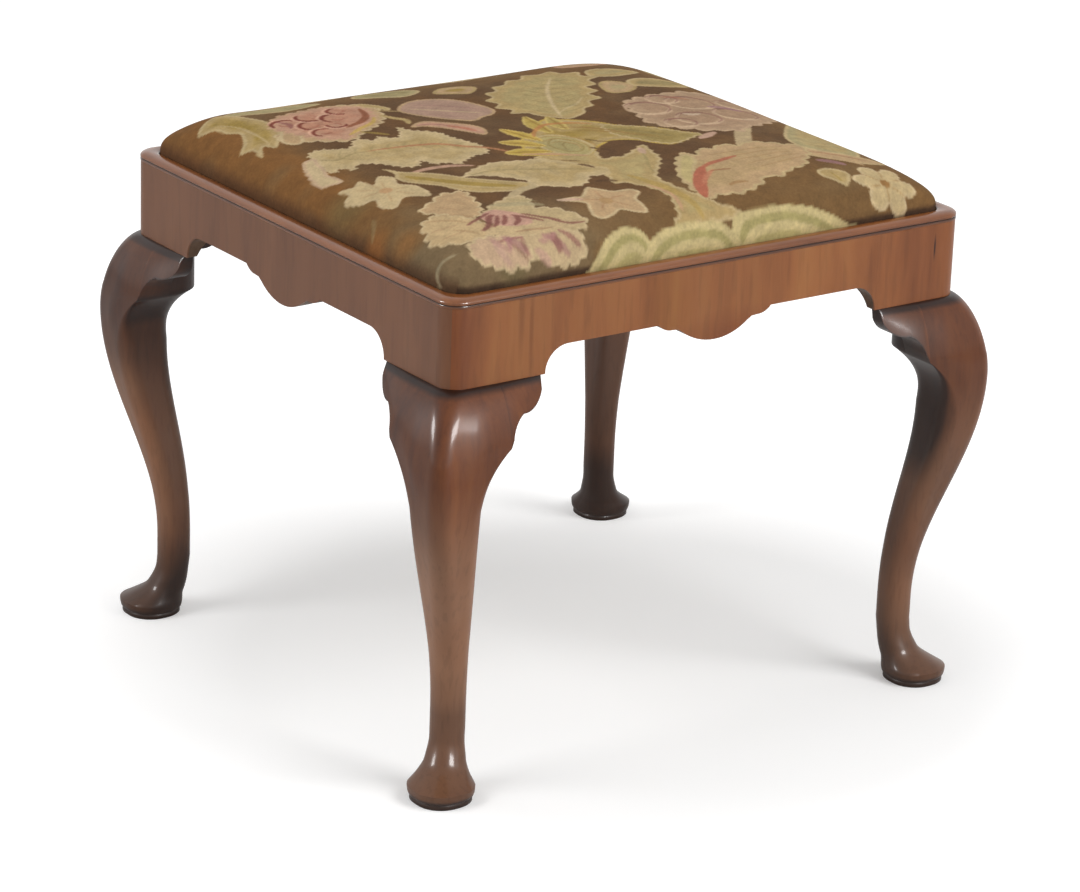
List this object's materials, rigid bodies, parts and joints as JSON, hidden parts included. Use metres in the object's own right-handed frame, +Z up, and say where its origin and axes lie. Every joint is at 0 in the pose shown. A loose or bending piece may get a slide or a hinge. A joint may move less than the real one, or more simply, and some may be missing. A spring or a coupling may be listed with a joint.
{
  "type": "upholstered stool",
  "caption": "Rectangular walnut stool with cabriole legs, pad feet, shaped veneered rails and a lift-out domed seat covered in floral needlework.",
  "frame": {"origin": "on the floor, under the middle of the stool", "axes": "+X along the front rail to the right as seen from the front, +Y to the back, +Z up"},
  "size_m": [0.5806, 0.5526, 0.4768],
  "materials": {
    "walnut": "polished walnut",
    "walnut_veneer": "polished cross-banded walnut veneer",
    "walnut_moulding": "polished walnut",
    "beech": "planed and unfinished",
    "seat_beech": "planed and unfinished",
    "screw_steel": "dull steel",
    "tack_iron": "blued iron",
    "webbing": "plain jute webbing",
    "hessian": "plain hessian",
    "horsehair": "curled hair",
    "calico": "plain calico",
    "needlework": "floral wool needlework on a brown ground"
  },
  "bodies": {
    "stool_frame": {"front_left_leg": "walnut", "front_right_leg": "walnut", "back_left_leg": "walnut", "back_right_leg": "walnut", "front_left_rail_ear": "walnut", "front_left_side_ear": "walnut", "front_right_rail_ear": "walnut", "front_right_side_ear": "walnut", "back_left_rail_ear": "walnut", "back_left_side_ear": "walnut", "back_right_rail_ear": "walnut", "back_right_side_ear": "walnut", "front_left_corner_block": "beech", "front_right_corner_block": "beech", "back_left_corner_block": "beech", "back_right_corner_block": "beech", "block_screws": "screw_steel", "front_rail": "beech", "back_rail": "beech", "left_rail": "beech", "right_rail": "beech", "front_veneer": "walnut_veneer", "back_veneer": "walnut_veneer", "left_veneer": "walnut_veneer", "right_veneer": "walnut_veneer", "front_lip": "walnut_moulding", "back_lip": "walnut_moulding", "left_lip": "walnut_moulding", "right_lip": "walnut_moulding"},
    "drop_in_seat": {"seat_front_rail": "seat_beech", "seat_back_rail": "seat_beech", "seat_left_rail": "seat_beech", "seat_right_rail": "seat_beech", "webbing_across": "webbing", "webbing_front_to_back": "webbing", "hessian": "hessian", "stuffing": "horsehair", "undercover": "calico", "needlework_cover": "needlework", "cover_tacks": "tack_iron"}
  },
  "joints": [
    {"name": "seat_lift", "type": "slide", "parent": "stool_frame", "child": "drop_in_seat", "axis": [0, 0, 1], "range_m": [0, 0.1]}
  ]
}
